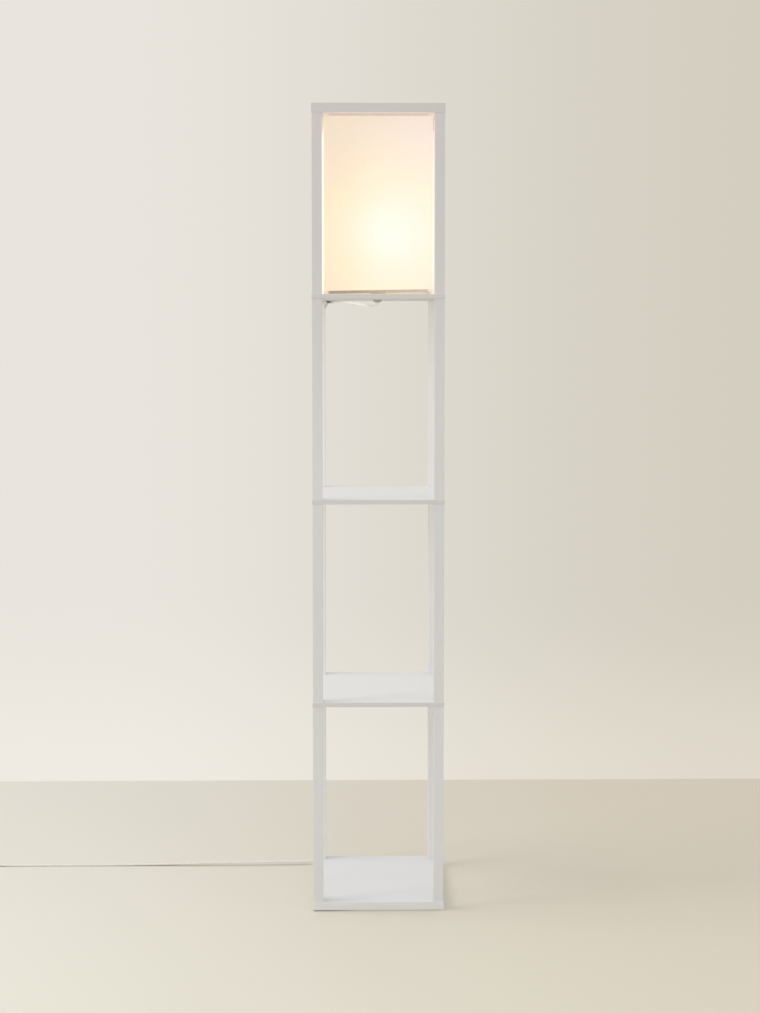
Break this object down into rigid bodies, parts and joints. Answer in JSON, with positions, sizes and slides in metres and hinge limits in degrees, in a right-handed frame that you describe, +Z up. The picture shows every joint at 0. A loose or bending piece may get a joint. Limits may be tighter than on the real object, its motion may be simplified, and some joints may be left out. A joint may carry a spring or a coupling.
{
  "type": "shelf floor lamp",
  "caption": "Tall square etagere floor lamp: painted shelves on slim posts, a fabric box shade lit from inside at the top, and a trailing lead with foot switch and plug.",
  "frame": {"origin": "on the floor, under the middle of the lamp's square footprint", "axes": "+Z up, -Y the front, where the shelves are reached from, and +X to the right seen from the front"},
  "size_m": [1.1778, 0.279, 1.588],
  "materials": {
    "white_paint": "satin white paint over wood fibre board",
    "felt": "dense felt",
    "zinc_steel": "bright zinc plate",
    "dowel_wood": "raw turned wood",
    "white_plastic": "smooth moulding",
    "holder_plastic": "moulded thermoset",
    "holder_ceramic": "white glaze",
    "brass": "bright pressed sheet",
    "bulb_metal": "bright drawn sheet",
    "bulb_black": "fused glass insulator",
    "opal_globe": "opal, lit",
    "shade_fabric": "laminated woven fabric, lit from inside",
    "white_wire": "white powder coat",
    "dark_steel": "dull",
    "cord_pvc": "soft white insulation",
    "tie_paper": "flat white tie",
    "switch_plastic": "white moulding",
    "nickel_brass": "nickel plate"
  },
  "bodies": {
    "lamp": {"base_board": "white_paint", "base_bolts": "zinc_steel", "centre_contact": "brass", "coil_tie": "tie_paper", "cord_bushing": "white_plastic", "cord_clips": "white_plastic", "cord_coil": "cord_pvc", "cord_lead": "cord_pvc", "cord_run": "cord_pvc", "corner_clip": "dark_steel", "foot_pads": "felt", "frame_dowels": "dowel_wood", "holder_cap": "holder_plastic", "holder_insulator": "holder_ceramic", "holder_skirt": "holder_plastic", "joining_studs": "zinc_steel", "lamp_board": "white_paint", "lamp_post_back_left": "white_paint", "lamp_post_back_right": "white_paint", "lamp_post_front_left": "white_paint", "lamp_post_front_right": "white_paint", "lock_nut": "zinc_steel", "lock_washer": "zinc_steel", "lower_post_back_left": "white_paint", "lower_post_back_right": "white_paint", "lower_post_front_left": "white_paint", "lower_post_front_right": "white_paint", "lower_shelf": "white_paint", "middle_post_back_left": "white_paint", "middle_post_back_right": "white_paint", "middle_post_front_left": "white_paint", "middle_post_front_right": "white_paint", "mounting_nipple": "zinc_steel", "plug_blades": "nickel_brass", "plug_body": "cord_pvc", "post_inserts": "zinc_steel", "screw_shell": "brass", "shade": "shade_fabric", "shade_hoop_top": "white_wire", "shade_spider": "white_wire", "switch_base": "switch_plastic", "switch_boots": "cord_pvc", "switch_contacts": "brass", "switch_cover": "switch_plastic", "switch_spring": "zinc_steel", "top_rail_back": "white_paint", "top_rail_front": "white_paint", "top_rail_left": "white_paint", "top_rail_right": "white_paint", "upper_post_back_left": "white_paint", "upper_post_back_right": "white_paint", "upper_post_front_left": "white_paint", "upper_post_front_right": "white_paint", "upper_shelf": "white_paint"},
    "bulb": {"bulb_cap": "bulb_metal", "bulb_contact": "bulb_black", "bulb_collar": "white_plastic", "bulb_globe": "opal_globe"},
    "shade_clamp": {"shade_ring": "holder_plastic"},
    "foot_button": {"switch_button": "switch_plastic"}
  },
  "joints": [
    {"name": "bulb_turn", "type": "hinge", "parent": "lamp", "child": "bulb", "pos_m": [0, 0, 1.247], "axis": [0, 0, 1], "range_deg": [0, 900]},
    {"name": "shade_ring_turn", "type": "hinge", "parent": "lamp", "child": "shade_clamp", "pos_m": [0, 0, 1.2497], "axis": [0, 0, 1], "range_deg": [0, 720]},
    {"name": "foot_button_press", "type": "slide", "parent": "lamp", "child": "foot_button", "axis": [0, 0, -1], "range_m": [0, 0.003], "stiffness_N_per_m": 900, "springref_m": -0.003, "deforming": ["switch_spring"]}
  ]
}
